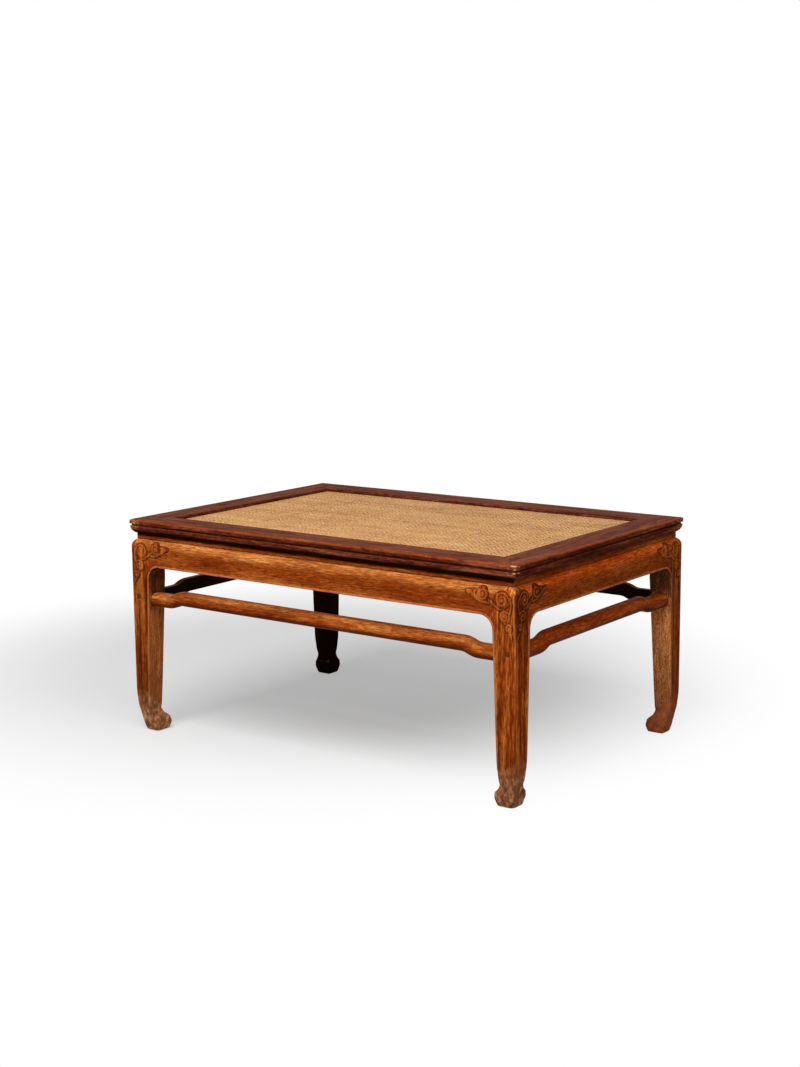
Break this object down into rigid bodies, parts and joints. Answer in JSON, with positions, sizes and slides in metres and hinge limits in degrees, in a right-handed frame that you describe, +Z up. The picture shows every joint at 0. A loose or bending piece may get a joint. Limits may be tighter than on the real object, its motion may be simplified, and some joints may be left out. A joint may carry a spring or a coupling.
{
  "type": "meditation stool",
  "caption": "Low, wide rectangular seat with a woven cane top in a moulded frame, recessed waist, rounded aprons, hoof-footed legs and humpback stretchers; for sitting cross-legged",
  "frame": {"origin": "on the floor under the middle of the seat", "axes": "+X along the seat's length, +Y from front to back, +Z up"},
  "size_m": [1.05, 0.71, 0.5],
  "materials": {
    "rosewood_frame": "worn, dull wax",
    "rosewood": "old wax polish",
    "hidden_wood": "bare, sawn and scraped",
    "cane": "woven cane",
    "palm_rope": "palm-fibre rope"
  },
  "bodies": {
    "root": {"apron_back": "rosewood", "apron_front": "rosewood", "apron_keys": "hidden_wood", "apron_left": "rosewood", "apron_right": "rosewood", "cane_mat": "cane", "frame_corner_pins": "hidden_wood", "leg_back_left": "rosewood", "leg_back_right": "rosewood", "leg_front_left": "rosewood", "leg_front_right": "rosewood", "mat_brace_left": "hidden_wood", "mat_brace_right": "hidden_wood", "mat_strip_back": "rosewood_frame", "mat_strip_front": "rosewood_frame", "mat_strip_left": "rosewood_frame", "mat_strip_right": "rosewood_frame", "palm_rope_web": "palm_rope", "seat_rail_back": "rosewood_frame", "seat_rail_front": "rosewood_frame", "seat_rail_left": "rosewood_frame", "seat_rail_right": "rosewood_frame", "stretcher_back": "rosewood", "stretcher_front": "rosewood", "stretcher_left": "rosewood", "stretcher_right": "rosewood", "waist_back": "rosewood", "waist_front": "rosewood", "waist_left": "rosewood", "waist_right": "rosewood"}
  },
  "joints": []
}
